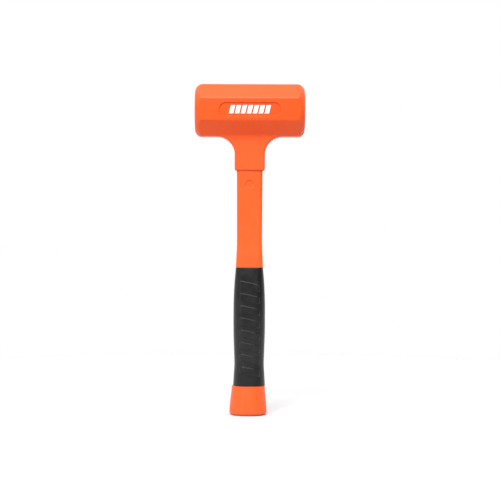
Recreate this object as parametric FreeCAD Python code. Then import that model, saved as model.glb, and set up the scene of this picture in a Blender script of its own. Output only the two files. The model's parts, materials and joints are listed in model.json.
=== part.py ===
import FreeCAD, Part
import math
import os

# Dead blow mallet: an octagonal moulded head round a steel canister of loose shot,
# on a moulded handle with a steel core and a black rubber grip.
# Frame: +Z up the handle, X along the head, Y through the head's sides.
# The origin is on the shaft's axis, at the butt's flat end. Millimetres.

Vector = FreeCAD.Vector
X_AXIS = Vector(1, 0, 0)
Y_AXIS = Vector(0, 1, 0)
Z_AXIS = Vector(0, 0, 1)

# ---- head ----
overall_height = 314.0
head_length = 104.0
head_across_flats = 49.1
head_upper_chamfer = 13.5       # depth of the slanted flats between the top and the sides
head_lower_chamfer = 14.4       # and of those between the sides and the underside
head_long_edge_radius = 1.5
end_cone_radius = 21.0          # where the 45 degree end cone would meet the flat end
end_edge_radius = 6.0           # rounding between the flat end and the cone
head_axis_z = overall_height - head_across_flats / 2
head_half_length = head_length / 2
head_underside_z = overall_height - head_across_flats
head_half_flats = head_across_flats / 2

# ---- badge recess on the head's front ----
badge_length = 58.0
badge_height = 12.8
badge_depth = 1.1
mark_length = 39.5
mark_height = 7.8
mark_thickness = 0.2
mark_bars = 7
mark_gap = 1.5
mark_slant = 2.0

# ---- neck ----
collar_bottom_z = 232.5
collar_bottom_half_width = 14.3
neck_half_width = 14.4
neck_half_depth = 11.2
neck_flare_radius = 17.0
neck_edge_radius = 1.5

# ---- steel canister in the head ----
canister_diameter = 40.0
canister_wall = 1.6
canister_length = 84.0
cap_thickness = 4.0
cap_weld_leg = 1.2
canister_radius = canister_diameter / 2
bore_radius = canister_radius - canister_wall
bore_half_length = canister_length / 2 - cap_thickness

# ---- steel ferrule, core and cross pin in the neck ----
core_diameter = 13.0
core_wall = 2.0
core_bottom_z = 16.0
plug_length = 8.0
ferrule_diameter = 17.0
ferrule_bottom_z = 245.0
ferrule_weld_leg = 4.0
pin_diameter = 4.0
pin_z = 256.0
core_radius = core_diameter / 2
core_bore_radius = core_radius - core_wall
ferrule_radius = ferrule_diameter / 2

# ---- handle ----
shaft_foot_half_width = 11.9
shaft_top_half_width = 12.15
shaft_flattening = 2.9          # how much less deep than wide the handle is, each side
shaft_corner_share = 0.24       # corner radius over half width, square at the shaft
butt_corner_share = 0.80        # and nearly oval at the butt
tenon_half_width = 10.0
tenon_half_depth = 8.0
tenon_corner_radius = 3.0
butt_edge_radius = 2.6
butt_margin = 0.35              # how far the butt stands out from the grip's outline
butt_shift_at_end = -1.0        # the butt is moulded a little to the left of the axis
butt_shift_at_grip = -0.6
dimple_z = 219.9
dimple_diameter = 8.0
dimple_depth = 0.8
# height and half width of the handle, from the butt's end up to the tapered shaft
handle_outline = [
    (0.0, 17.45),
    (7.3, 17.25),
    (15.4, 16.5),
    (27.8, 15.3),
    (37.5, 14.7),
    (48.5, 14.1),
    (61.5, 14.45),
    (77.5, 14.95),
    (92.5, 15.05),
    (107.5, 14.95),
    (123.5, 14.3),
    (140.5, 13.0),
    (152.5, 12.4),
    (165.5, shaft_foot_half_width),
]
straight_shaft_z = handle_outline[-1][0]
section_spacing = 12.0

# ---- rubber grip ----
grip_bottom_z = 27.8
grip_top_z = 140.6
grip_wall = 2.4
pad_count = 8
pad_pitch = 11.58
pad_height = 6.7
pad_drop = 4.2                  # how far a pad's edge falls from left to right
pad_left_x = -9.3
pad_right_x = 9.8
pad_rise = 0.9
first_pad_top_z = 128.25

# ---- steel shot ----
ball_diameter = 6.0
ball_gap = 0.1
lowest_layer_offset = -14.3     # from the canister's axis
# rows across and balls in the longest row, layer by layer from the bottom
shot_layers = [(3, 10), (5, 10), (6, 10), (6, 9), (5, 8)]


def cylinder_on(axis, radius, start, length):
    return Part.makeCylinder(radius, length, start, axis)


def tube_on(axis, outer_radius, inner_radius, start, length):
    outer = cylinder_on(axis, outer_radius, start, length)
    return outer.cut(cylinder_on(axis, inner_radius, start, length))


def closed_face(points):
    return Part.Face(Part.makePolygon(points + [points[0]]))


def head_axis_point(x):
    return Vector(x, 0, head_axis_z)


def rounded_section(half_width, half_depth, corner, z):
    """A rounded rectangle across the handle, as a closed wire."""
    x = half_width - corner
    y = half_depth - corner
    diagonal = corner * math.sqrt(0.5)
    corners = [(1, 1), (-1, 1), (-1, -1), (1, -1)]
    arcs = []
    for turn, (side_x, side_y) in enumerate(corners):
        first = Vector(side_x * half_width, side_y * y, z)
        last = Vector(side_x * x, side_y * half_depth, z)
        middle = Vector(side_x * (x + diagonal), side_y * (y + diagonal), z)
        if turn % 2:
            first, last = last, first
        arcs.append((first, middle, last))
    edges = []
    for turn, (first, middle, last) in enumerate(arcs):
        following = arcs[(turn + 1) % 4][0]
        edges.append(Part.Arc(first, middle, last).toShape())
        edges.append(Part.LineSegment(last, following).toShape())
    return Part.Wire(edges)


def half_width_at(z):
    """The handle's half width at a height: a smooth curve through the outline's points,
    then the shaft's straight taper."""
    if z > straight_shaft_z:
        rise = (z - straight_shaft_z) / (collar_bottom_z - straight_shaft_z)
        return shaft_foot_half_width + rise * (shaft_top_half_width - shaft_foot_half_width)
    last = len(handle_outline) - 1
    start = max(i for i in range(last) if handle_outline[i][0] <= z or i == 0)
    z0, w0 = handle_outline[start]
    z1, w1 = handle_outline[start + 1]

    def slope(i):
        before = handle_outline[max(i - 1, 0)]
        after = handle_outline[min(i + 1, last)]
        return 0.0 if i == last else (after[1] - before[1]) / (after[0] - before[0])

    step = z1 - z0
    t = (z - z0) / step
    ease = t * t * (3 - 2 * t)
    lead_in = t * (1 - t) ** 2 * step * slope(start)
    lead_out = t * t * (t - 1) * step * slope(start + 1)
    return w0 + (w1 - w0) * ease + lead_in + lead_out


def handle_section(z, offset):
    """The handle's outline across a height, moved out by offset."""
    half_width = half_width_at(z)
    half_depth = half_width - shaft_flattening
    squareness = min(z / straight_shaft_z, 1.0) ** 2
    share = butt_corner_share + (shaft_corner_share - butt_corner_share) * squareness
    corner = share * half_width + offset
    return rounded_section(half_width + offset, half_depth + offset, corner, z)


def handle_loft(bottom_z, top_z, offset):
    """The handle's outside between two heights, moved out by offset."""
    steps = math.ceil((top_z - bottom_z) / section_spacing)
    heights = [bottom_z + (top_z - bottom_z) * i / steps for i in range(steps + 1)]
    return Part.makeLoft([handle_section(z, offset) for z in heights], True, False)


def octagonal_prism():
    upper = head_half_flats - head_upper_chamfer
    lower = head_half_flats - head_lower_chamfer
    front_half = [(-upper, head_half_flats), (-head_half_flats, upper),
                  (-head_half_flats, -lower), (-lower, -head_half_flats)]
    back_half = [(-y, height) for y, height in reversed(front_half)]
    corners = [Vector(-head_half_length, y, head_axis_z + height)
               for y, height in front_half + back_half]
    prism = closed_face(corners).extrude(X_AXIS * head_length)
    long_edges = [e for e in prism.Edges if abs(e.Length - head_length) < 0.01]
    return prism.makeFillet(head_long_edge_radius, long_edges)


def round_ended_blank():
    """The solid of revolution that gives the octagon its conical, rounded ends."""
    reach = end_edge_radius * math.tan(math.pi / 8)
    rise = reach * math.sqrt(0.5)
    arc_centre_x = end_edge_radius
    flat_radius = end_cone_radius - reach
    widest = head_half_flats + 3.0

    def at(side, inward, radius):
        return Vector(side * (head_half_length - inward), 0, head_axis_z + radius)

    def end_arc(side):
        first = at(side, 0, flat_radius)
        mid_inward = arc_centre_x - end_edge_radius * math.cos(math.pi / 8)
        middle = at(side, mid_inward, flat_radius + end_edge_radius * math.sin(math.pi / 8))
        last = at(side, rise, end_cone_radius + rise)
        return first, middle, last

    left = end_arc(-1)
    right = end_arc(1)
    left_shoulder = at(-1, widest - end_cone_radius, widest)
    right_shoulder = at(1, widest - end_cone_radius, widest)
    edges = [
        Part.LineSegment(at(-1, 0, 0), left[0]).toShape(),
        Part.Arc(*left).toShape(),
        Part.LineSegment(left[2], left_shoulder).toShape(),
        Part.LineSegment(left_shoulder, right_shoulder).toShape(),
        Part.LineSegment(right_shoulder, right[2]).toShape(),
        Part.Arc(right[2], right[1], right[0]).toShape(),
        Part.LineSegment(right[0], at(1, 0, 0)).toShape(),
        Part.LineSegment(at(1, 0, 0), at(-1, 0, 0)).toShape(),
    ]
    profile = Part.Face(Part.Wire(edges))
    return profile.revolve(head_axis_point(0), X_AXIS, 360)


def neck():
    """The neck and collar under the head, with its flares up to the underside."""
    flare_centre_z = head_underside_z - neck_flare_radius
    flare_x = neck_half_width + neck_flare_radius
    slant = neck_flare_radius * math.sqrt(0.5)
    top_z = head_underside_z + 4.0

    def at(side, x, z):
        return Vector(side * x, -neck_half_depth, z)

    edges = [Part.LineSegment(at(-1, collar_bottom_half_width, collar_bottom_z),
                              at(1, collar_bottom_half_width, collar_bottom_z)).toShape()]
    for side in (1, -1):
        foot = at(side, collar_bottom_half_width, collar_bottom_z)
        flare_start = at(side, neck_half_width, flare_centre_z)
        flare_middle = at(side, flare_x - slant, flare_centre_z + slant)
        flare_end = at(side, flare_x, head_underside_z)
        shoulder = at(side, flare_x, top_z)
        side_edges = [
            Part.LineSegment(foot, flare_start).toShape(),
            Part.Arc(flare_start, flare_middle, flare_end).toShape(),
            Part.LineSegment(flare_end, shoulder).toShape(),
        ]
        edges += side_edges
    edges.append(Part.LineSegment(at(1, flare_x, top_z), at(-1, flare_x, top_z)).toShape())
    profile = Part.Wire(Part.__sortEdges__(edges))
    block = Part.Face(profile).extrude(Y_AXIS * (2 * neck_half_depth))
    collar_edges = []
    for edge in block.Edges:
        middle = edge.CenterOfMass
        along_depth = abs(middle.y) < 0.01
        at_foot = middle.z < collar_bottom_z + 0.01
        below_flare = middle.z < flare_centre_z
        if at_foot or (below_flare and not along_depth):
            collar_edges.append(edge)
    return block.makeFillet(neck_edge_radius, collar_edges)


def ferrule_bore_and_socket():
    """The hole up the neck: the tenon's socket, then the ferrule's bore."""
    socket = tenon(ferrule_bottom_z)
    bore = cylinder_on(Z_AXIS, ferrule_radius, Vector(0, 0, ferrule_bottom_z),
                       head_axis_z - ferrule_bottom_z)
    return socket.fuse(bore)


def tenon(top_z):
    section = rounded_section(tenon_half_width, tenon_half_depth, tenon_corner_radius,
                              collar_bottom_z)
    return Part.Face(section).extrude(Z_AXIS * (top_z - collar_bottom_z))


def canister_envelope():
    start = head_axis_point(-canister_length / 2)
    return cylinder_on(X_AXIS, canister_radius, start, canister_length)


def badge_recess():
    """A round-ended slot just through the head's front flat."""
    half_straight = (badge_length - badge_height) / 2
    front_y = -head_across_flats / 2
    start_y = front_y - 1.0
    depth = badge_depth + 1.0
    slot = Part.makeBox(2 * half_straight, depth, badge_height,
                        Vector(-half_straight, start_y, head_axis_z - badge_height / 2))
    for side in (-1, 1):
        start = Vector(side * half_straight, start_y, head_axis_z)
        slot = slot.fuse(cylinder_on(Y_AXIS, badge_height / 2, start, depth))
    return slot.removeSplitter()


def head_shell():
    body = octagonal_prism().common(round_ended_blank())
    body = body.fuse(neck()).removeSplitter()
    body = body.cut(canister_envelope())
    body = body.cut(ferrule_bore_and_socket())
    body = body.cut(ferrule_weld())
    return body.cut(badge_recess())


def badge_mark():
    """A row of slanted bars, printed on the floor of the badge recess."""
    bar_width = (mark_length - mark_slant - (mark_bars - 1) * mark_gap) / mark_bars
    floor_y = -head_across_flats / 2 + badge_depth
    bottom_z = head_axis_z - mark_height / 2
    top_z = head_axis_z + mark_height / 2
    bars = []
    for number in range(mark_bars):
        x = -mark_length / 2 + number * (bar_width + mark_gap)
        outline = [
            Vector(x, floor_y, bottom_z),
            Vector(x + bar_width, floor_y, bottom_z),
            Vector(x + bar_width + mark_slant, floor_y, top_z),
            Vector(x + mark_slant, floor_y, top_z),
        ]
        bars.append(closed_face(outline).extrude(Y_AXIS * -mark_thickness))
    return Part.makeCompound(bars)


def cap_weld(side):
    """The bead that fills the groove between the canister's end and its cap."""
    end_x = side * canister_length / 2
    inner = Vector(end_x, 0, head_axis_z + bore_radius - cap_weld_leg)
    outer = Vector(end_x, 0, head_axis_z + bore_radius + cap_weld_leg)
    root = Vector(end_x - side * cap_weld_leg, 0, head_axis_z + bore_radius)
    return closed_face([inner, outer, root]).revolve(head_axis_point(0), X_AXIS, 360)


def canister_tube():
    start = head_axis_point(-canister_length / 2)
    tube = tube_on(X_AXIS, canister_radius, bore_radius, start, canister_length)
    return tube.cut(cap_weld(-1)).cut(cap_weld(1))


def canister_cap(side):
    start = head_axis_point(side * bore_half_length)
    disc = cylinder_on(X_AXIS * side, bore_radius, start, cap_thickness)
    return disc.cut(cap_weld(side))


def cross_pin():
    start = Vector(0, -ferrule_radius, pin_z)
    pin = cylinder_on(Y_AXIS, pin_diameter / 2, start, ferrule_diameter)
    return pin.common(cylinder_on(Z_AXIS, ferrule_radius, Vector(0, 0, pin_z - pin_diameter),
                                  2 * pin_diameter))


def core_ferrule():
    """The socket that holds the core, coped to the underside of the canister."""
    height = head_axis_z - ferrule_bottom_z
    tube = tube_on(Z_AXIS, ferrule_radius, core_radius, Vector(0, 0, ferrule_bottom_z), height)
    return tube.cut(canister_envelope()).cut(cross_pin())


def ferrule_weld():
    """The bead round the ferrule where it meets the canister."""
    root_z = head_axis_z - canister_radius - ferrule_weld_leg / 2
    top_z = head_axis_z - canister_radius + ferrule_weld_leg
    outer_radius = ferrule_radius + ferrule_weld_leg
    section = [
        Vector(ferrule_radius, 0, root_z),
        Vector(outer_radius, 0, top_z),
        Vector(ferrule_radius, 0, top_z),
    ]
    bead = closed_face(section).revolve(Vector(0, 0, 0), Z_AXIS, 360)
    return bead.cut(canister_envelope())


def handle_core():
    height = head_axis_z - core_bottom_z
    tube = tube_on(Z_AXIS, core_radius, core_bore_radius, Vector(0, 0, core_bottom_z), height)
    return tube.cut(canister_envelope()).cut(cross_pin())


def core_plug():
    return cylinder_on(Z_AXIS, core_bore_radius, Vector(0, 0, core_bottom_z), plug_length)


def core_envelope():
    return cylinder_on(Z_AXIS, core_radius, Vector(0, 0, core_bottom_z),
                       head_axis_z - core_bottom_z)


def dimples():
    """The shallow round marks near the top of the shaft, front and back."""
    reach = 2.0
    surface_y = half_width_at(dimple_z) - shaft_flattening
    cutters = []
    for side in (-1, 1):
        start = Vector(0, side * (surface_y - dimple_depth), dimple_z)
        cutters.append(cylinder_on(Y_AXIS * side, dimple_diameter / 2, start, reach))
    return Part.makeCompound(cutters)


def butt():
    """The flared end below the grip, set to the left, with its rim rounded."""
    steps = 3
    sections = []
    for i in range(steps + 1):
        share = i / steps
        section = handle_section(grip_bottom_z * share, butt_margin)
        shift = butt_shift_at_end + share * (butt_shift_at_grip - butt_shift_at_end)
        section.translate(X_AXIS * shift)
        sections.append(section)
    block = Part.makeLoft(sections, True, False)
    rim = [e for e in block.Edges if e.BoundBox.ZMax < 0.01]
    return block.makeFillet(butt_edge_radius, rim)


def tapered_shaft():
    ends = [handle_section(z, 0.0) for z in (straight_shaft_z, collar_bottom_z)]
    return Part.makeLoft(ends, True, True)


def grip_seat():
    """The part of the handle inside the sleeve."""
    return handle_loft(grip_bottom_z, grip_top_z, -grip_wall)


def handle_jacket():
    waist = handle_loft(grip_top_z, straight_shaft_z, 0.0)
    jacket = waist.fuse([tapered_shaft(), butt(), grip_seat(), tenon(ferrule_bottom_z)])
    return jacket.cut(core_envelope()).cut(dimples())


def pad_prisms():
    """Slanted bars that run through the grip's front, and the same ones at its back."""
    prisms = []
    for number in range(pad_count):
        top_z = first_pad_top_z - number * pad_pitch
        outline = [
            Vector(pad_left_x, 0, top_z),
            Vector(pad_right_x, 0, top_z - pad_drop),
            Vector(pad_right_x, 0, top_z - pad_drop - pad_height),
            Vector(pad_left_x, 0, top_z - pad_height),
        ]
        front = closed_face(outline).extrude(Y_AXIS * -head_across_flats)
        back = front.copy()
        back.rotate(Vector(0, 0, 0), Z_AXIS, 180)
        prisms += [front, back]
    return Part.makeCompound(prisms)


def grip_sleeve():
    body = handle_loft(grip_bottom_z, grip_top_z, 0.0)
    pads = handle_loft(grip_bottom_z, grip_top_z, pad_rise).common(pad_prisms())
    return body.fuse(pads).cut(grip_seat())


def shot_layer(number):
    """One flat raft of balls, with every second row set half a ball along."""
    rows, longest_row = shot_layers[number]
    pitch = ball_diameter + ball_gap
    row_pitch = pitch * math.sin(math.pi / 3)
    z = head_axis_z + lowest_layer_offset + number * pitch
    balls = []
    for row in range(rows):
        y = (row - (rows - 1) / 2) * row_pitch
        count = longest_row - row % 2
        for place in range(count):
            x = (place - (count - 1) / 2) * pitch
            balls.append(Part.makeSphere(ball_diameter / 2, Vector(x, y, z)))
    return Part.makeCompound(balls)


def all_nodes():
    nodes = {
        "head_shell": head_shell(),
        "badge_mark": badge_mark(),
        "canister_tube": canister_tube(),
        "canister_cap_left": canister_cap(-1),
        "canister_cap_right": canister_cap(1),
        "cap_weld_left": cap_weld(-1),
        "cap_weld_right": cap_weld(1),
        "core_ferrule": core_ferrule(),
        "ferrule_weld": ferrule_weld(),
        "core_pin": cross_pin(),
        "handle_core": handle_core(),
        "core_plug": core_plug(),
        "handle_jacket": handle_jacket(),
        "grip_sleeve": grip_sleeve(),
    }
    for number in range(len(shot_layers)):
        nodes[f"shot_layer_{number + 1}"] = shot_layer(number)
    return nodes


os.makedirs("parts", exist_ok=True)
for name, shape in all_nodes().items():
    box = shape.BoundBox
    print(f"{name}: valid {shape.isValid()}, solids {len(shape.Solids)}, "
          f"volume {shape.Volume:.1f}, x {box.XMin:.2f}..{box.XMax:.2f}, "
          f"y {box.YMin:.2f}..{box.YMax:.2f}, z {box.ZMin:.2f}..{box.ZMax:.2f}")
    shape.exportStep(f"parts/{name}.step")
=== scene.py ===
import json
import math

import bpy
import numpy as np
from mathutils import Matrix, Vector


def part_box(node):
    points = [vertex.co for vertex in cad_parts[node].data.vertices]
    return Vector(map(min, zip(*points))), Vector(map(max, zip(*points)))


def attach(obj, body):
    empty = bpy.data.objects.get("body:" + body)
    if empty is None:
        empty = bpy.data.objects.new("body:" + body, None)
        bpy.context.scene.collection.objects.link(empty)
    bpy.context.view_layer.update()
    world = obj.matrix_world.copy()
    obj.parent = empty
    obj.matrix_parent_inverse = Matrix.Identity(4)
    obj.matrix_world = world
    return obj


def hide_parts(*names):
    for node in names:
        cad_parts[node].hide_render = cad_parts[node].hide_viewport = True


# The looks of a dead blow mallet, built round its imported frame.
# Shapes are worked out in millimetres, with +Z up the handle and X along the head,
# and turned into metres when a mesh is made.

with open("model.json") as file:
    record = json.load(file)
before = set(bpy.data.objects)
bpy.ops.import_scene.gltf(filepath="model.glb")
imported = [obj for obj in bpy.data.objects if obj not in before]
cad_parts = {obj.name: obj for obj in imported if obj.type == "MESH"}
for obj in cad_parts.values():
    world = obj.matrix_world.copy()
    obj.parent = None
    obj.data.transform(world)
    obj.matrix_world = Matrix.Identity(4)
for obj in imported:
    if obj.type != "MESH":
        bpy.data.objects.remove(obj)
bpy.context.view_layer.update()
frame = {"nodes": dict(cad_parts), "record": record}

MM = 0.001


def box_mm(node):
    low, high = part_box(node)
    return np.array(low) / MM, np.array(high) / MM


# ---- sizes from the frame ----

HEAD_LOW, HEAD_HIGH = box_mm("head_shell")
HEAD_HALF_LENGTH = HEAD_HIGH[0]
HEAD_HALF_FLATS = HEAD_HIGH[1]
HEAD_TOP_Z = HEAD_HIGH[2]
HEAD_AXIS_Z = HEAD_TOP_Z - HEAD_HALF_FLATS
HEAD_UNDERSIDE_Z = HEAD_AXIS_Z - HEAD_HALF_FLATS
COLLAR_Z = HEAD_LOW[2]

CANISTER_HIGH = box_mm("canister_tube")[1]
CANISTER_HALF_LENGTH = CANISTER_HIGH[0]
CANISTER_RADIUS = CANISTER_HIGH[1]

CORE_LOW, CORE_HIGH = box_mm("handle_core")
CORE_RADIUS = CORE_HIGH[0]
CORE_BOTTOM_Z = CORE_LOW[2]
FERRULE_BOTTOM_Z = box_mm("core_ferrule")[0][2]

GRIP_BOTTOM_Z = box_mm("grip_sleeve")[0][2]
GRIP_TOP_Z = box_mm("grip_sleeve")[1][2]

# ---- head ----

UPPER_CHAMFER = 13.5            # depth of the slanted flats between the top and the sides
LOWER_CHAMFER = 14.4            # and of those between the sides and the underside
UPPER_EDGE_BLEND = 0.8
LOWER_EDGE_BLEND = 0.5
END_CONE_RADIUS = 21.0          # where the 45 degree end cone would meet the flat end
END_EDGE_BLEND = 1.7            # softness between the flat end and its cone
NUT_ARC_BLEND = 0.7             # softness where the cone cuts the flats
BADGE_HALF_LENGTH = 29.0
BADGE_HALF_HEIGHT = 6.4
BADGE_DEPTH = 1.1
BADGE_BLEND = 0.25

# ---- neck ----

NECK_HALF_WIDTH = 14.4
NECK_TAPER = 0.1                # how much narrower the collar is than the neck, each side
NECK_HALF_DEPTH = 11.2
NECK_FLARE_RADIUS = 17.0
NECK_EDGE_RADIUS = 2.0
COLLAR_EDGE_RADIUS = 2.0
NECK_OVERLAP = 4.0              # how far the neck's shape runs up into the head
CREASE_BLEND = 0.8              # fillet between the neck's front and the head above it
SHARP_CREASE_BLEND = 0.02       # and where the flare meets the head's underside
CREASE_REACH = 3.0              # how far inside the neck's front the fillet starts
SOCKET_HALF_WIDTH = 10.0
SOCKET_HALF_DEPTH = 8.0
SOCKET_CORNER = 3.0

# ---- handle: height and half width, from the butt's end up to the tapered shaft ----

HANDLE_OUTLINE = np.array([
    (0.0, 17.45),
    (7.3, 17.25),
    (15.4, 16.5),
    (27.8, 15.3),
    (37.5, 14.7),
    (48.5, 14.1),
    (61.5, 14.45),
    (77.5, 14.95),
    (92.5, 15.05),
    (107.5, 14.95),
    (123.5, 14.3),
    (140.5, 13.0),
    (152.5, 12.4),
    (165.5, 11.9),
])
SHAFT_TOP_HALF_WIDTH = 12.15
SHAFT_FLATTENING = 2.9
SHAFT_CORNER_SHARE = 0.24
BUTT_CORNER_SHARE = 0.80
BUTT_RIM_RADIUS = 2.6
BUTT_MARGIN = 0.35              # how far the butt stands out from the grip's outline
BUTT_SHIFT_AT_END = -1.0        # the butt is moulded a little to the left of the axis
BUTT_SHIFT_AT_GRIP = -0.6
BUTT_CROWN = 0.45               # how far the butt's end rises before its rim
BUTT_CROWN_REACH = 8.0
GRIP_WALL = 2.4
GRIP_END_STEP = 0.1             # how far the sleeve's top lies below the shaft
GRIP_END_REACH = 9.0
EDGE_ABOVE_SEAM = 0.5           # rounding of the edges that meet at the grip's ends
EDGE_BELOW_SEAM = 0.15
HIDDEN_GAP = 0.02               # between skins that touch where nobody sees it
SMALLEST_CORNER = 0.3
DIMPLE_Z = 219.9
DIMPLE_RADIUS = 4.0
DIMPLE_DEPTH = 0.8
DIMPLE_ZONE = 5.0               # half the height of the close rings round the mark
DIMPLE_WALLS = (0.2, 0.6)       # how wide the mark's wall is at its bottom and at its top

# ---- grip pads ----

PAD_COUNT = 8
PAD_PITCH = 11.58
PAD_LEFT = -8.8
PAD_RIGHT = 9.8
PAD_HEIGHT = 6.7
PAD_DROP = 4.2                  # how far a pad's edge falls from left to right
PAD_CURVE = 0.35                # how much of that fall is curved
PAD_RISE = 0.9
PAD_BEVEL = 0.4
PAD_LEFT_CORNER = 0.9
PAD_RIGHT_CORNER = 2.0
FIRST_PAD_TOP_Z = 128.25
PADS_DEPTH_SHARE = 0.78         # how far round the grip's sides the rings' slant reaches
LEAST_FACING = 0.2              # a point that faces the front less than this has no pad

# ---- studio: how bright the room's light is from each side, and the floor ----

FRONT_SHADE = 0.58
DARK_SIDE = (0.66, -0.75, 0.0)
DARK_SIDE_SHADE = 0.25
OVERHEAD_GLOW = 1.45
FLOOR_GREY = 0.56


# ================================ meshes ================================


def make_object(name, points, faces, normals=None):
    """A smooth mesh object from points in millimetres."""
    mesh = bpy.data.meshes.new(name)
    mesh.from_pydata((points * MM).tolist(), [], faces)
    mesh.polygons.foreach_set("use_smooth", [True] * len(mesh.polygons))
    if normals is not None:
        mesh.normals_split_custom_set_from_vertices(normals.tolist())
    mesh.update()
    piece = bpy.data.objects.new(name, mesh)
    bpy.context.scene.collection.objects.link(piece)
    return piece


def round_max(a, b, radius):
    """The inner of two fields, with the edge between them rounded."""
    u = np.maximum(a + radius, 0.0)
    v = np.maximum(b + radius, 0.0)
    return np.minimum(np.maximum(a, b), -radius) + np.hypot(u, v)


def round_min(a, b, radius):
    """The union of two fields, with the corner between them filled."""
    return -round_max(-a, -b, radius)


def rounded_box_2d(x, y, half_x, half_y, corner):
    qx = np.abs(x) - half_x + corner
    qy = np.abs(y) - half_y + corner
    outside = np.hypot(np.maximum(qx, 0.0), np.maximum(qy, 0.0))
    return outside + np.minimum(np.maximum(qx, qy), 0.0) - corner


def slope_of(field, points, step):
    """The field's slope at points, by central differences."""
    slope = np.empty_like(points)
    for axis in range(3):
        ahead = points.copy()
        behind = points.copy()
        ahead[:, axis] += step
        behind[:, axis] -= step
        slope[:, axis] = (field(*ahead.T) - field(*behind.T)) / (2 * step)
    return slope


def pull_to_surface(field, points):
    """Moves each point along the slope until the field is zero there."""
    rounds = 4
    slope_step = 0.02
    least_slope = 0.05
    longest_move = 0.4
    for _ in range(rounds):
        slope = slope_of(field, points, slope_step)
        size = np.maximum((slope ** 2).sum(1), least_slope)
        step = np.clip(field(*points.T) / size, -longest_move, longest_move)
        points = points - step[:, None] * slope
    return points


def skin_of_field(field, lines):
    """Points and quads over a field's zero surface. There is one point for each grid cell
    that the surface crosses, and one quad for each grid edge that it crosses."""
    values = field(*np.meshgrid(*lines, indexing="ij"))
    cells = np.array(values.shape) - 1
    all_crossings = []
    all_rings = []
    for axis in range(3):
        across = (axis + 1) % 3
        along = (axis + 2) % 3
        low = np.take(values, range(cells[axis]), axis)
        high = np.take(values, range(1, cells[axis] + 1), axis)
        edges = np.argwhere((low < 0) != (high < 0))
        at_low = low[tuple(edges.T)]
        at_high = high[tuple(edges.T)]
        crossing = np.stack([lines[n][edges[:, n]] for n in range(3)], 1)
        gap = lines[axis][edges[:, axis] + 1] - lines[axis][edges[:, axis]]
        crossing[:, axis] += gap * at_low / (at_low - at_high)
        ring = []
        for step_across, step_along in ((-1, -1), (0, -1), (0, 0), (-1, 0)):
            cell = edges.copy()
            cell[:, across] += step_across
            cell[:, along] += step_along
            ring.append(np.ravel_multi_index(tuple(cell.T), tuple(cells)))
        ring = np.stack(ring, 1)
        leaves_backwards = at_low > 0
        ring[leaves_backwards] = ring[leaves_backwards][:, ::-1]
        all_crossings.append(crossing)
        all_rings.append(ring)
    crossings = np.concatenate(all_crossings)
    rings = np.concatenate(all_rings)
    corners = np.unique(rings, return_inverse=True)[1]
    corners = corners.reshape(-1)
    counts = np.bincount(corners)
    points = np.stack([
        np.bincount(corners, np.repeat(crossings[:, n], 4)) / counts for n in range(3)
    ], 1)
    points = pull_to_surface(field, points)
    slope = slope_of(field, points, 0.05)
    normals = slope / np.linalg.norm(slope, axis=1)[:, None]
    return points, corners.reshape(-1, 4), normals


def grid_line(*stretches):
    """Grid positions along one axis, from stretches of (start, end, spacing)."""
    parts = []
    for start, end, spacing in stretches:
        parts.append(np.linspace(start, end, max(2, round((end - start) / spacing) + 1)))
    line = np.concatenate(parts)
    return line[np.concatenate([[True], np.diff(line) > 1e-6])]


def skin_of_rings(rings, closed):
    """Quads between neighbouring rings of equal length. A skin that isn't closed into a
    loop of rings has its first and last rings filled to their middle points."""
    count, around = rings.shape[:2]
    points = rings.reshape(-1, 3)
    here = np.arange(around)
    following = np.roll(here, -1)
    faces = []
    for i in range(count if closed else count - 1):
        lower = i * around
        upper = (i + 1) % count * around
        faces += np.stack([lower + here, lower + following,
                           upper + following, upper + here], 1).tolist()
    if not closed:
        first_middle = len(points)
        points = np.concatenate([points, [rings[0].mean(0)], [rings[-1].mean(0)]])
        last = (count - 1) * around
        for k in here:
            faces.append([first_middle, int(following[k]), int(k)])
            faces.append([first_middle + 1, last + int(k), last + int(following[k])])
    return points, faces


# ================================ head ================================


def octagon_field(x, y, z):
    """The head: an octagonal bar cut by a 45 degree cone at each end."""
    height = z - HEAD_AXIS_Z
    diagonal = math.sqrt(0.5)
    upper = (np.abs(y) + height - 2 * HEAD_HALF_FLATS + UPPER_CHAMFER) * diagonal
    lower = (np.abs(y) - height - 2 * HEAD_HALF_FLATS + LOWER_CHAMFER) * diagonal
    bar = round_max(np.abs(y) - HEAD_HALF_FLATS, upper, UPPER_EDGE_BLEND)
    bar = round_max(bar, lower, LOWER_EDGE_BLEND)
    bar = round_max(bar, np.abs(height) - HEAD_HALF_FLATS, LOWER_EDGE_BLEND)
    inward = HEAD_HALF_LENGTH - np.abs(x)
    cone = (np.hypot(y, height) - END_CONE_RADIUS - inward) * diagonal
    ends = round_max(-inward, cone, END_EDGE_BLEND)
    return round_max(bar, ends, NUT_ARC_BLEND)


def neck_field(x, y, z):
    """The neck and collar, flaring into the head's underside across its width."""
    above_collar = np.clip((z - COLLAR_Z) / (HEAD_UNDERSIDE_Z - COLLAR_Z), 0.0, 1.0)
    half_width = NECK_HALF_WIDTH - NECK_TAPER * (1.0 - above_collar)
    flared = round_min(np.abs(x) - half_width, HEAD_UNDERSIDE_Z - z, NECK_FLARE_RADIUS)
    block = round_max(flared, np.abs(y) - NECK_HALF_DEPTH, NECK_EDGE_RADIUS)
    block = round_max(block, COLLAR_Z - z, COLLAR_EDGE_RADIUS)
    reach = NECK_HALF_WIDTH + NECK_FLARE_RADIUS
    top = HEAD_UNDERSIDE_Z + NECK_OVERLAP
    return np.maximum(np.maximum(block, np.abs(x) - reach), z - top)


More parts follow.
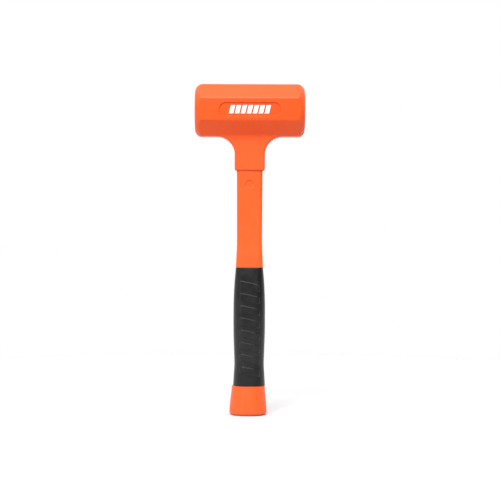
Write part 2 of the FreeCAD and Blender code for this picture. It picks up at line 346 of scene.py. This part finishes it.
def badge_field(x, y, z):
    """The round-ended recess in the head's front."""
    straight = BADGE_HALF_LENGTH - BADGE_HALF_HEIGHT
    beyond = np.maximum(np.abs(x) - straight, 0.0)
    pill = np.hypot(beyond, z - HEAD_AXIS_Z) - BADGE_HALF_HEIGHT
    floor = y + HEAD_HALF_FLATS - BADGE_DEPTH
    return round_max(pill, floor, BADGE_BLEND)


def socket_field(x, y, z):
    outline = rounded_box_2d(x, y, SOCKET_HALF_WIDTH, SOCKET_HALF_DEPTH, SOCKET_CORNER)
    return np.maximum(outline, z - FERRULE_BOTTOM_Z)


def head_field(x, y, z):
    near_front = np.clip(1.0 + (np.abs(y) - NECK_HALF_DEPTH) / CREASE_REACH, 0.0, 1.0)
    crease = SHARP_CREASE_BLEND + CREASE_BLEND * near_front
    body = round_min(octagon_field(x, y, z), neck_field(x, y, z), crease)
    body = round_max(body, -badge_field(x, y, z), BADGE_BLEND)
    return np.maximum(body, -socket_field(x, y, z))


def head_grid():
    """The planes of the head's grid. They are closest together round the badge recess, at
    the striking faces, on the front and at the collar's edge."""
    margin = 0.6
    round_badge = 1.5
    front_depth = 1.6
    collar_height = 3.0
    badge_end = BADGE_HALF_LENGTH + round_badge
    end_zone = HEAD_HALF_LENGTH - 8.0
    half_x = [(0.0, badge_end, 0.5), (badge_end, end_zone, 1.0),
              (end_zone, HEAD_HALF_LENGTH + margin, 0.45)]
    right = grid_line(*half_x)
    x_line = np.concatenate([-right[:0:-1], right])
    front_end = -HEAD_HALF_FLATS + front_depth
    y_line = grid_line((-HEAD_HALF_FLATS - margin, front_end, 0.22),
                       (front_end, HEAD_HALF_FLATS + margin, 0.7))
    collar_end = COLLAR_Z + collar_height
    badge_low = HEAD_AXIS_Z - BADGE_HALF_HEIGHT - round_badge
    badge_high = HEAD_AXIS_Z + BADGE_HALF_HEIGHT + round_badge
    z_line = grid_line((COLLAR_Z - margin, collar_end, 0.35),
                       (collar_end, badge_low, 0.65),
                       (badge_low, badge_high, 0.42),
                       (badge_high, HEAD_TOP_Z + margin, 0.65))
    return [x_line, y_line, z_line]


def canister_cavity():
    """The sealed hollow that the steel canister fills, as an inward-facing skin."""
    corners = 96
    ring_count = 13
    around = np.linspace(0.0, 2 * math.pi, corners, endpoint=False)
    rings = []
    for x in np.linspace(-CANISTER_HALF_LENGTH, CANISTER_HALF_LENGTH, ring_count):
        y = CANISTER_RADIUS * np.cos(around)
        z = HEAD_AXIS_Z - CANISTER_RADIUS * np.sin(around)
        rings.append(np.stack([np.full_like(y, x), y, z], 1))
    return skin_of_rings(np.array(rings), closed=False)


def build_head():
    points, faces, normals = skin_of_field(head_field, head_grid())
    hollow_points, hollow_faces = canister_cavity()
    middle = np.array([0.0, 0.0, HEAD_AXIS_Z])
    mostly_across = (0.02, 1.0, 1.0)
    inward = (middle - hollow_points) * mostly_across
    inward /= np.linalg.norm(inward, axis=1)[:, None]
    all_faces = faces.tolist()
    all_faces += [[corner + len(points) for corner in face] for face in hollow_faces]
    return make_object("head_shell_skin", np.concatenate([points, hollow_points]),
                       all_faces, np.concatenate([normals, inward]))


# ================================ handle and grip ================================


def outline_half_width(z):
    """The handle's half width at a height: a smooth curve through the outline's points,
    then the shaft's straight taper."""
    heights, widths = HANDLE_OUTLINE.T
    if z > heights[-1]:
        rise = min((z - heights[-1]) / (COLLAR_Z - heights[-1]), 1.0)
        return widths[-1] + rise * (SHAFT_TOP_HALF_WIDTH - widths[-1])
    slopes = np.empty_like(widths)
    slopes[1:-1] = (widths[2:] - widths[:-2]) / (heights[2:] - heights[:-2])
    slopes[0] = (widths[1] - widths[0]) / (heights[1] - heights[0])
    slopes[-1] = 0.0
    start = min(int(np.searchsorted(heights, z, side="right")) - 1, len(heights) - 2)
    step = heights[start + 1] - heights[start]
    t = (z - heights[start]) / step
    ease = t * t * (3 - 2 * t)
    lead_in = t * (1 - t) ** 2 * step * slopes[start]
    lead_out = t * t * (t - 1) * step * slopes[start + 1]
    return widths[start] + (widths[start + 1] - widths[start]) * ease + lead_in + lead_out


SAMPLE_COUNT = 1200
SAMPLE_HEIGHTS = np.linspace(0.0, COLLAR_Z, SAMPLE_COUNT)
SAMPLE_WIDTHS = np.array([outline_half_width(z) for z in SAMPLE_HEIGHTS])


def half_width_at(z):
    """The handle's half width at one height or at many."""
    return np.interp(z, SAMPLE_HEIGHTS, SAMPLE_WIDTHS)


def unit_section(front, corner, side):
    """Once round a rounded rectangle, from the middle of its front: how far along the
    straight sides each point lies, then its outward direction."""
    along = np.linspace(0.0, 1.0, front + 1)[:-1]
    turn = np.linspace(-math.pi / 2, 0.0, corner + 1)[:-1]
    up = np.linspace(-1.0, 0.0, side + 1)
    sides_x = np.concatenate([along, np.ones(corner + side + 1)])
    sides_y = np.concatenate([-np.ones(front + corner), up])
    out_x = np.concatenate([np.zeros(front), np.cos(turn), np.ones(side + 1)])
    out_y = np.concatenate([-np.ones(front), np.sin(turn), np.zeros(side + 1)])
    quarter = np.stack([sides_x, sides_y, out_x, out_y], 1)
    flip_y = quarter * (1, -1, 1, -1)
    flip_x = quarter * (-1, 1, -1, 1)
    return np.concatenate([quarter[:-1], flip_y[::-1][:-1], -quarter[:-1], flip_x[::-1][:-1]])


def section_ring(unit, half_width, half_depth, corner, z):
    x = unit[:, 0] * (half_width - corner) + unit[:, 2] * corner
    y = unit[:, 1] * (half_depth - corner) + unit[:, 3] * corner
    return np.stack([x, y, np.full_like(x, z)], 1)


def handle_ring(unit, z, offset, height=None):
    """The handle's outline at a height, or at one height for each point, moved out by
    offset. It may be drawn at another height, as the butt's rim is."""
    straight_z = HANDLE_OUTLINE[-1, 0]
    half_width = half_width_at(z)
    squareness = np.minimum(z / straight_z, 1.0) ** 2
    share = BUTT_CORNER_SHARE + (SHAFT_CORNER_SHARE - BUTT_CORNER_SHARE) * squareness
    corner = np.maximum(share * half_width + offset, SMALLEST_CORNER)
    return section_ring(unit, half_width + offset, half_width - SHAFT_FLATTENING + offset,
                        corner, z if height is None else height)


def butt_ring(unit, z, offset, height=None):
    """The butt's outline, which stands out from the grip's and sits to the left."""
    ring = handle_ring(unit, z, BUTT_MARGIN + offset, height)
    share = z / GRIP_BOTTOM_Z
    ring[:, 0] += BUTT_SHIFT_AT_END + share * (BUTT_SHIFT_AT_GRIP - BUTT_SHIFT_AT_END)
    return ring


def circle_ring(unit, radius, z):
    angle = np.arctan2(*unit[:, [1, 0]].T)
    return np.stack([radius * np.cos(angle), radius * np.sin(angle),
                     np.full(len(unit), z)], 1)


def butt_rings(unit):
    """The butt's end from its middle out: flat, then a slow crown, then the rim."""
    rim_z = BUTT_RIM_RADIUS + BUTT_CROWN
    outer = butt_ring(unit, rim_z, -BUTT_CROWN_REACH, 0.0)
    middle = outer.mean(0)
    flat_shares = (0.12, 0.35, 0.6, 0.85)
    crown_rings = 14
    rim_rings = 10
    rings = [middle + (outer - middle) * share for share in flat_shares]
    for inset in np.linspace(BUTT_CROWN_REACH, BUTT_RIM_RADIUS, crown_rings):
        rise = (BUTT_CROWN_REACH - inset) / BUTT_CROWN_REACH
        rings.append(butt_ring(unit, rim_z, -inset, BUTT_CROWN * rise ** 2))
    for angle in np.linspace(0.0, math.pi / 2, rim_rings)[1:]:
        inset = BUTT_RIM_RADIUS * (1 - math.sin(angle))
        rise = (BUTT_CROWN_REACH - inset) / BUTT_CROWN_REACH
        height = BUTT_CROWN * rise ** 2 + BUTT_RIM_RADIUS * (1 - math.cos(angle))
        rings.append(butt_ring(unit, rim_z, -inset, height))
    return rings


def edge_heights_and_insets(end_z, towards):
    """The small rounding of an edge at a seam: (height, inset) from the side to the end.
    towards is 1 where the piece ends upwards, below its seam, and -1 above its seam."""
    radius = EDGE_BELOW_SEAM if towards > 0 else EDGE_ABOVE_SEAM
    ring_count = 5
    pairs = []
    for angle in np.linspace(0.0, math.pi / 2, ring_count):
        height = end_z - towards * radius * (1 - math.sin(angle))
        pairs.append((height, radius * (1 - math.cos(angle))))
    return pairs


def press_dimple(ring):
    """Presses the shallow round mark into a ring of the shaft, front and back. Its wall is
    steeper at the bottom than at the top."""
    away = np.hypot(ring[:, 0], ring[:, 2] - DIMPLE_Z)
    upward = (ring[:, 2] - DIMPLE_Z) / DIMPLE_RADIUS
    wall = np.interp(upward, [-1.0, 1.0], DIMPLE_WALLS)
    share = np.clip((DIMPLE_RADIUS - away) / wall, 0.0, 1.0)
    pressed = ring.copy()
    pressed[:, 1] -= np.sign(ring[:, 1]) * DIMPLE_DEPTH * share * share * (3 - 2 * share)
    return pressed


def build_handle():
    """The whole moulding as one run of rings: up the butt, under the grip, up the shaft
    and the tenon, then down the bore that holds the core."""
    unit = unit_section(24, 20, 12)
    long_run = 40
    tenon_run = 8
    rings = butt_rings(unit)
    rim_z = BUTT_RIM_RADIUS + BUTT_CROWN
    for z in np.linspace(rim_z, GRIP_BOTTOM_Z - EDGE_BELOW_SEAM, long_run)[1:-1]:
        rings.append(butt_ring(unit, z, 0.0))
    for z, inset in edge_heights_and_insets(GRIP_BOTTOM_Z, 1):
        rings.append(butt_ring(unit, z, -inset))
    seat = -GRIP_WALL - HIDDEN_GAP
    for z in np.linspace(GRIP_BOTTOM_Z, GRIP_TOP_Z, long_run):
        rings.append(handle_ring(unit, z, seat))
    for z, inset in edge_heights_and_insets(GRIP_TOP_Z, -1)[::-1]:
        rings.append(handle_ring(unit, z, -inset))
    shaft_line = grid_line((GRIP_TOP_Z + EDGE_ABOVE_SEAM, DIMPLE_Z - DIMPLE_ZONE, 1.2),
                           (DIMPLE_Z - DIMPLE_ZONE, DIMPLE_Z + DIMPLE_ZONE, 0.16),
                           (DIMPLE_Z + DIMPLE_ZONE, COLLAR_Z, 1.0))
    for z in shaft_line[1:]:
        rings.append(press_dimple(handle_ring(unit, z, 0.0)))
    tenon = (SOCKET_HALF_WIDTH - HIDDEN_GAP, SOCKET_HALF_DEPTH - HIDDEN_GAP, SOCKET_CORNER)
    tenon_top = FERRULE_BOTTOM_Z - HIDDEN_GAP
    for z in np.linspace(COLLAR_Z, tenon_top, tenon_run):
        rings.append(section_ring(unit, *tenon, z))
    for z in np.linspace(tenon_top, CORE_BOTTOM_Z - HIDDEN_GAP, long_run):
        rings.append(circle_ring(unit, CORE_RADIUS + HIDDEN_GAP, z))
    points, faces = skin_of_rings(np.array(rings), closed=False)
    return make_object("handle_jacket_skin", points, faces)


def pad_fall(x):
    """How far a pad's edges have fallen at a distance across the grip."""
    share = np.clip((x - PAD_LEFT) / (PAD_RIGHT - PAD_LEFT), 0.0, 1.0)
    return -PAD_DROP * ((1 - PAD_CURVE) * share + PAD_CURVE * share * share)


def pad_rise(x, z):
    """How far the grip's pads stand up at a place on its front."""
    middle = (PAD_LEFT + PAD_RIGHT) / 2
    corner = np.where(x > middle, PAD_RIGHT_CORNER, PAD_LEFT_CORNER)
    rise = np.zeros_like(x)
    for number in range(PAD_COUNT):
        centre = FIRST_PAD_TOP_Z - number * PAD_PITCH - PAD_HEIGHT / 2
        inside = -rounded_box_2d(x - middle, z - pad_fall(x) - centre,
                                 (PAD_RIGHT - PAD_LEFT) / 2, PAD_HEIGHT / 2, corner)
        share_in = np.clip(inside / PAD_BEVEL, 0.0, 1.0)
        rise = np.maximum(rise, PAD_RISE * share_in * share_in * (3 - 2 * share_in))
    return rise


def raise_pads(ring, unit):
    """Lifts a ring of the grip where the pads of its front and its back cross it."""
    facing = np.where(unit[:, 3] < 0, 1.0, -1.0)
    rise = pad_rise(ring[:, 0] * facing, ring[:, 2])
    rise *= np.abs(unit[:, 3]) > LEAST_FACING
    raised = ring.copy()
    raised[:, :2] += unit[:, 2:] * rise[:, None]
    return raised


def grip_ring(unit, z, offset):
    """The sleeve's outline, which dips a little towards its top."""
    from_end = (GRIP_TOP_Z - z) / GRIP_END_REACH
    dip = GRIP_END_STEP * np.maximum(1.0 - from_end, 0.0) ** 2
    return handle_ring(unit, z, offset - dip)


def pad_mesh_line():
    """Heights at the pads' left ends for the rings of the sleeve's mesh: close together
    at each pad's edges, and wider apart between them."""
    near_edge = np.array([-0.3, 0.0, 0.1, 0.2, 0.3, 0.4, 0.6, 0.9, 1.2, 1.5, 1.9])
    line = []
    for number in range(PAD_COUNT):
        top = FIRST_PAD_TOP_Z - number * PAD_PITCH
        bottom = top - PAD_HEIGHT
        line += [*(top - near_edge), *np.linspace(top - 2.5, bottom + 2.5, 3),
                 *(bottom + near_edge), *np.linspace(bottom - 1.2, bottom - 3.6, 3)]
    return np.sort(line)


def falling_heights(unit, height, share):
    """A height for each point of a ring, falling with the pads' edges across the front
    and the back, and rising again round the sides."""
    ring = handle_ring(unit, height, 0.0)
    facing = np.where(ring[:, 1] <= 0, 1.0, -1.0)
    across = ring[:, 0] * facing
    pads_depth = PADS_DEPTH_SHARE * ring[:, 1].max()
    round_side = np.clip(1 - np.abs(ring[:, 1]) / pads_depth, 0.0, 1.0)
    fall = pad_fall(across) + np.sign(across) * PAD_DROP / 2 * round_side
    return height + share * fall


def build_grip():
    """The sleeve as a closed loop of rings: up its outside and back down its inside."""
    unit = unit_section(24, 30, 6)
    rings = []
    for z, inset in edge_heights_and_insets(GRIP_BOTTOM_Z, -1)[::-1]:
        rings.append(grip_ring(unit, z, -inset))
    low = GRIP_BOTTOM_Z + EDGE_ABOVE_SEAM
    high = GRIP_TOP_Z - EDGE_BELOW_SEAM
    line = pad_mesh_line()
    plain_run = 12
    below_pads = np.linspace(low, line[0], plain_run)[1:-1]
    above_pads = np.linspace(line[-1], high, plain_run + 2)[1:-1]
    for height in [*below_pads, *line, *above_pads]:
        share = np.interp(height, [low, line[0], line[-1], high], [0.0, 1.0, 1.0, 0.0])
        heights = falling_heights(unit, height, share)
        rings.append(raise_pads(grip_ring(unit, heights, 0.0), unit))
    for z, inset in edge_heights_and_insets(GRIP_TOP_Z, 1):
        rings.append(grip_ring(unit, z, -inset))
    inside_run = 30
    for z in np.linspace(GRIP_TOP_Z, GRIP_BOTTOM_Z, inside_run):
        rings.append(handle_ring(unit, z, -GRIP_WALL + HIDDEN_GAP))
    points, faces = skin_of_rings(np.array(rings), closed=True)
    return make_object("grip_sleeve_skin", points, faces)


# ================================ materials ================================


def new_material(name):
    material = bpy.data.materials.new(name)
    material.use_nodes = True
    nodes = material.node_tree.nodes
    shader = nodes["Principled BSDF"]
    place = nodes.new("ShaderNodeTexCoord")
    return material, nodes, material.node_tree.links, shader, place.outputs["Object"]


def noise(nodes, links, place, scale, detail=3.0, stretch=(1, 1, 1), distortion=0.0):
    """A noise pattern in object space, stretched along the axes."""
    mapping = nodes.new("ShaderNodeMapping")
    mapping.inputs["Scale"].default_value = stretch
    links.new(place, mapping.inputs["Vector"])
    texture = nodes.new("ShaderNodeTexNoise")
    texture.inputs["Scale"].default_value = scale
    texture.inputs["Detail"].default_value = detail
    texture.inputs["Distortion"].default_value = distortion
    links.new(mapping.outputs["Vector"], texture.inputs["Vector"])
    return texture.outputs["Fac"]


def combine(nodes, links, operation, first, second):
    result = nodes.new("ShaderNodeMath")
    result.operation = operation
    links.new(first, result.inputs[0])
    links.new(second, result.inputs[1])
    return result.outputs["Value"]


def between(nodes, links, value, low, high, start=0.3, end=0.7, smooth=False):
    """value from start to end, carried to low to high."""
    carry = nodes.new("ShaderNodeMapRange")
    carry.interpolation_type = "SMOOTHSTEP" if smooth else "LINEAR"
    carry.inputs["From Min"].default_value = start
    carry.inputs["From Max"].default_value = end
    carry.inputs["To Min"].default_value = low
    carry.inputs["To Max"].default_value = high
    links.new(value, carry.inputs["Value"])
    return carry.outputs["Result"]


def mix_colours(nodes, links, share, first, second):
    mix = nodes.new("ShaderNodeMix")
    mix.data_type = "RGBA"
    links.new(share, mix.inputs["Factor"])
    mix.inputs["A"].default_value = (*first, 1.0)
    mix.inputs["B"].default_value = (*second, 1.0)
    return mix.outputs["Result"]


def add_bump(nodes, links, shader, heights):
    """Chains bumps of (height value, depth in metres) onto a shader."""
    normal = None
    for value, depth in heights:
        bump = nodes.new("ShaderNodeBump")
        bump.inputs["Strength"].default_value = 1.0
        bump.inputs["Distance"].default_value = depth
        links.new(value, bump.inputs["Height"])
        if normal is not None:
            links.new(normal, bump.inputs["Normal"])
        normal = bump.outputs["Normal"]
    links.new(normal, shader.inputs["Normal"])


def orange_urethane():
    """Cast polyurethane: satin, with the mould's fine texture and a faint flow in it. The
    head is redder and less glossy than the neck and the handle, because the neck and the handle
    are painted a lighter orange: painted light that stands in for the brighter light falling on
    them."""
    material, nodes, links, shader, place = new_material("orange_urethane")
    flow = noise(nodes, links, place, 22.0, 2.0, distortion=0.6)
    share = between(nodes, links, flow, 0.0, 1.0)
    head_colour = mix_colours(nodes, links, share, (0.78, 0.073, 0.003), (0.82, 0.080, 0.005))
    # Painted light: a lighter orange for the neck and the handle, standing in for the brighter
    # light that falls on them.
    neck_and_handle_painted_lighter = mix_colours(nodes, links, share, (0.79, 0.086, 0.005), (0.83, 0.094, 0.007))
    parts = nodes.new("ShaderNodeSeparateXYZ")
    links.new(place, parts.inputs["Vector"])
    # The painted lighter orange starts just under the head's underside, so the neck gets it too,
    # though it belongs to the head's moulding.
    change_low = (HEAD_UNDERSIDE_Z - 3.0) * MM
    change_high = (HEAD_UNDERSIDE_Z + 2.0) * MM
    in_head = between(nodes, links, parts.outputs["Z"], 0.0, 1.0, change_low, change_high)
    blend = nodes.new("ShaderNodeMix")
    blend.data_type = "RGBA"
    links.new(in_head, blend.inputs["Factor"])
    links.new(neck_and_handle_painted_lighter, blend.inputs["A"])
    links.new(head_colour, blend.inputs["B"])
    links.new(blend.outputs["Result"], shader.inputs["Base Color"])
    gloss = between(nodes, links, in_head, 0.48, 0.32, 0.0, 1.0)
    links.new(gloss, shader.inputs["Specular IOR Level"])
    patches = noise(nodes, links, place, 90.0, 4.0)
    links.new(between(nodes, links, patches, 0.36, 0.46), shader.inputs["Roughness"])
    grain = noise(nodes, links, place, 2600.0, 2.0)
    waves = noise(nodes, links, place, 160.0, 2.0)
    add_bump(nodes, links, shader, [(waves, 0.00003), (grain, 0.000012)])
    return material


def black_rubber():
    """Moulded rubber: black, satin and finely grained."""
    material, nodes, links, shader, place = new_material("black_rubber")
    shader.inputs["Specular IOR Level"].default_value = 0.41
    dust = noise(nodes, links, place, 130.0, 4.0)
    share = between(nodes, links, dust, 0.0, 1.0)
    colour = mix_colours(nodes, links, share, (0.0055, 0.0055, 0.006), (0.0085, 0.0085, 0.009))
    links.new(colour, shader.inputs["Base Color"])
    links.new(between(nodes, links, dust, 0.28, 0.38), shader.inputs["Roughness"])
    grain = noise(nodes, links, place, 1900.0, 3.0)
    add_bump(nodes, links, shader, [(grain, 0.00003)])
    return material


def white_print():
    """Screen ink: flat white, a little uneven."""
    material, nodes, links, shader, place = new_material("white_print")
    cover = noise(nodes, links, place, 700.0, 3.0)
    share = between(nodes, links, cover, 0.0, 1.0)
    colour = mix_colours(nodes, links, share, (0.80, 0.79, 0.78), (0.90, 0.89, 0.89))
    links.new(colour, shader.inputs["Base Color"])
    links.new(between(nodes, links, cover, 0.45, 0.6), shader.inputs["Roughness"])
    add_bump(nodes, links, shader, [(cover, 0.00001)])
    return material


def drawn_steel(name, dark, light, stretch, rough):
    """Steel with drawing lines along the direction that stretch leaves long."""
    material, nodes, links, shader, place = new_material(name)
    shader.inputs["Metallic"].default_value = 1.0
    lines = noise(nodes, links, place, 900.0, 4.0, stretch)
    colour = mix_colours(nodes, links, between(nodes, links, lines, 0.0, 1.0), dark, light)
    links.new(colour, shader.inputs["Base Color"])
    links.new(between(nodes, links, lines, rough - 0.08, rough + 0.1), shader.inputs["Roughness"])
    add_bump(nodes, links, shader, [(lines, 0.00001)])
    return material


def weld_metal():
    """A weld bead: dark, with stacked ripples."""
    material, nodes, links, shader, place = new_material("weld_metal")
    shader.inputs["Metallic"].default_value = 1.0
    wave = nodes.new("ShaderNodeTexWave")
    wave.inputs["Scale"].default_value = 260.0
    wave.inputs["Distortion"].default_value = 3.0
    links.new(place, wave.inputs["Vector"])
    ripple = wave.outputs["Fac"]
    tint = between(nodes, links, noise(nodes, links, place, 120.0), 0.0, 1.0)
    colour = mix_colours(nodes, links, tint, (0.24, 0.22, 0.22), (0.42, 0.37, 0.31))
    links.new(colour, shader.inputs["Base Color"])
    links.new(between(nodes, links, ripple, 0.35, 0.55, 0.0, 1.0), shader.inputs["Roughness"])
    add_bump(nodes, links, shader, [(ripple, 0.0001)])
    return material


def shot_steel():
    """Polished balls, scuffed from hitting each other."""
    material, nodes, links, shader, place = new_material("shot_steel")
    shader.inputs["Metallic"].default_value = 1.0
    scuffs = noise(nodes, links, place, 1100.0, 5.0)
    share = between(nodes, links, scuffs, 0.0, 1.0)
    colour = mix_colours(nodes, links, share, (0.50, 0.50, 0.51), (0.66, 0.66, 0.67))
    links.new(colour, shader.inputs["Base Color"])
    links.new(between(nodes, links, scuffs, 0.16, 0.36), shader.inputs["Roughness"])
    add_bump(nodes, links, shader, [(scuffs, 0.000008)])
    return material


def plug_plastic():
    """Dark grey moulded plastic."""
    material, nodes, links, shader, place = new_material("plug_plastic")
    grain = noise(nodes, links, place, 800.0)
    share = between(nodes, links, grain, 0.0, 1.0)
    colour = mix_colours(nodes, links, share, (0.03, 0.03, 0.03), (0.05, 0.05, 0.05))
    links.new(colour, shader.inputs["Base Color"])
    links.new(between(nodes, links, grain, 0.45, 0.6), shader.inputs["Roughness"])
    add_bump(nodes, links, shader, [(grain, 0.00002)])
    return material


def paint_node(name, material):
    """Gives a carried-over CAD node its material."""
    slots = frame["nodes"][name].data.materials
    if not slots:
        slots.append(material)
    for number in range(len(slots)):
        slots[number] = material


# ================================ the mallet ================================


def build_mallet():
    """Builds the three skins in place of the CAD's head, handle and grip."""
    orange = orange_urethane()
    skins = [
        (build_head(), "head_shell", "orange_urethane", orange),
        (build_handle(), "handle_jacket", "orange_urethane", orange),
        (build_grip(), "grip_sleeve", "black_rubber", black_rubber()),
    ]
    for piece, node, slot, material in skins:
        piece.data.materials.append(material)
        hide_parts(node)
        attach(piece, "mallet")


def paint_inside():
    """Gives the printed mark and the pieces inside the mallet their materials."""
    along_head = (0.03, 1, 1)
    along_handle = (1, 1, 0.03)
    by_slot = {
        "canister_steel": drawn_steel("canister_steel", (0.44, 0.45, 0.47),
                                      (0.58, 0.59, 0.61), along_head, 0.34),
        "core_steel": drawn_steel("core_steel", (0.50, 0.51, 0.53),
                                  (0.64, 0.65, 0.67), along_handle, 0.30),
        "weld_metal": weld_metal(),
        "shot_steel": shot_steel(),
        "plug_plastic": plug_plastic(),
        "white_print": white_print(),
    }
    for row in frame["record"]["subparts"]:
        if row["material_slot"] in by_slot:
            paint_node(row["node"], by_slot[row["material_slot"]])


# ================================ studio ================================


def build_floor():
    """A round pale tabletop, lit to the same white as the studio round it."""
    radius = 0.62
    corners = 96
    mesh = bpy.data.meshes.new("floor")
    turns = [2 * math.pi * k / corners for k in range(corners)]
    mesh.from_pydata([(radius * math.cos(t), radius * math.sin(t), 0.0) for t in turns],
                     [], [tuple(range(corners))])
    floor = bpy.data.objects.new("floor", mesh)
    bpy.context.scene.collection.objects.link(floor)
    material, _, _, shader, _ = new_material("pale_floor")
    shader.inputs["Base Color"].default_value = (FLOOR_GREY, FLOOR_GREY, FLOOR_GREY, 1.0)
    shader.inputs["Roughness"].default_value = 0.9
    shader.inputs["Specular IOR Level"].default_value = 0.1
    mesh.materials.append(material)


def build_world():
    """A white studio. The light that it sheds comes mostly from above and behind. It is
    weaker from the front, and weaker still from the right of the front."""
    world = bpy.data.worlds.new("studio")
    world.use_nodes = True
    nodes = world.node_tree.nodes
    links = world.node_tree.links
    place = nodes.new("ShaderNodeTexCoord").outputs["Generated"]
    parts = nodes.new("ShaderNodeSeparateXYZ")
    links.new(place, parts.inputs["Vector"])
    front = between(nodes, links, parts.outputs["Y"], 1.0, FRONT_SHADE, 0.15, -0.6,
                    smooth=True)
    towards = nodes.new("ShaderNodeVectorMath")
    towards.operation = "DOT_PRODUCT"
    links.new(place, towards.inputs[0])
    towards.inputs[1].default_value = Vector(DARK_SIDE).normalized()
    side = between(nodes, links, towards.outputs["Value"], 1.0, DARK_SIDE_SHADE, 0.45, 0.9,
                   smooth=True)
    above = between(nodes, links, parts.outputs["Z"], 1.0, OVERHEAD_GLOW, 0.25, 0.9,
                    smooth=True)
    shed = combine(nodes, links, "MULTIPLY", front, side)
    shed = combine(nodes, links, "MULTIPLY", shed, above)
    seen = nodes.new("ShaderNodeLightPath").outputs["Is Camera Ray"]
    strength = combine(nodes, links, "MAXIMUM", shed, seen)
    background = nodes["Background"]
    background.inputs["Color"].default_value = (1.0, 1.0, 1.0, 1.0)
    links.new(strength, background.inputs["Strength"])
    bpy.context.scene.world = world


def softbox(name, place, target, size, watts, reflected):
    """A rectangular light that the camera doesn't see. Where it isn't reflected, it gives
    its light without a gloss."""
    light = bpy.data.lights.new(name, "AREA")
    light.shape = "RECTANGLE"
    light.size, light.size_y = size
    light.energy = watts
    lamp = bpy.data.objects.new(name, light)
    lamp.location = place
    lamp.visible_camera = False
    lamp.visible_glossy = reflected
    lamp.rotation_euler = (Vector(target) - Vector(place)).to_track_quat("-Z", "Y").to_euler()
    bpy.context.scene.collection.objects.link(lamp)


def build_lights():
    head = (0.0, 0.0, HEAD_AXIS_Z * MM)
    softbox("overhead", (0.0, -0.6, 2.4), head, (3.2, 2.4), 30.0, reflected=False)
    softbox("key", (-0.3, -2.0, 2.1), head, (1.8, 1.8), 92.0, reflected=True)


def build_camera():
    """A long lens in front of the mallet, aimed at the middle of its height."""
    distance = 1.3852
    height = 0.190
    aside = 0.0005
    pitch = math.radians(1.358)
    roll = math.radians(0.2)
    camera_data = bpy.data.cameras.new("camera")
    camera_data.sensor_width = 36.0
    camera_data.lens = 104.61
    camera = bpy.data.objects.new("camera", camera_data)
    camera.matrix_world = (Matrix.Translation((aside, -distance, height))
                           @ Matrix.Rotation(math.pi / 2 - pitch, 4, "X")
                           @ Matrix.Rotation(roll, 4, "Z"))
    bpy.context.scene.collection.objects.link(camera)
    bpy.context.scene.camera = camera


bpy.context.scene.view_settings.view_transform = "Standard"
build_mallet()
paint_inside()
build_floor()
build_world()
build_lights()
build_camera()
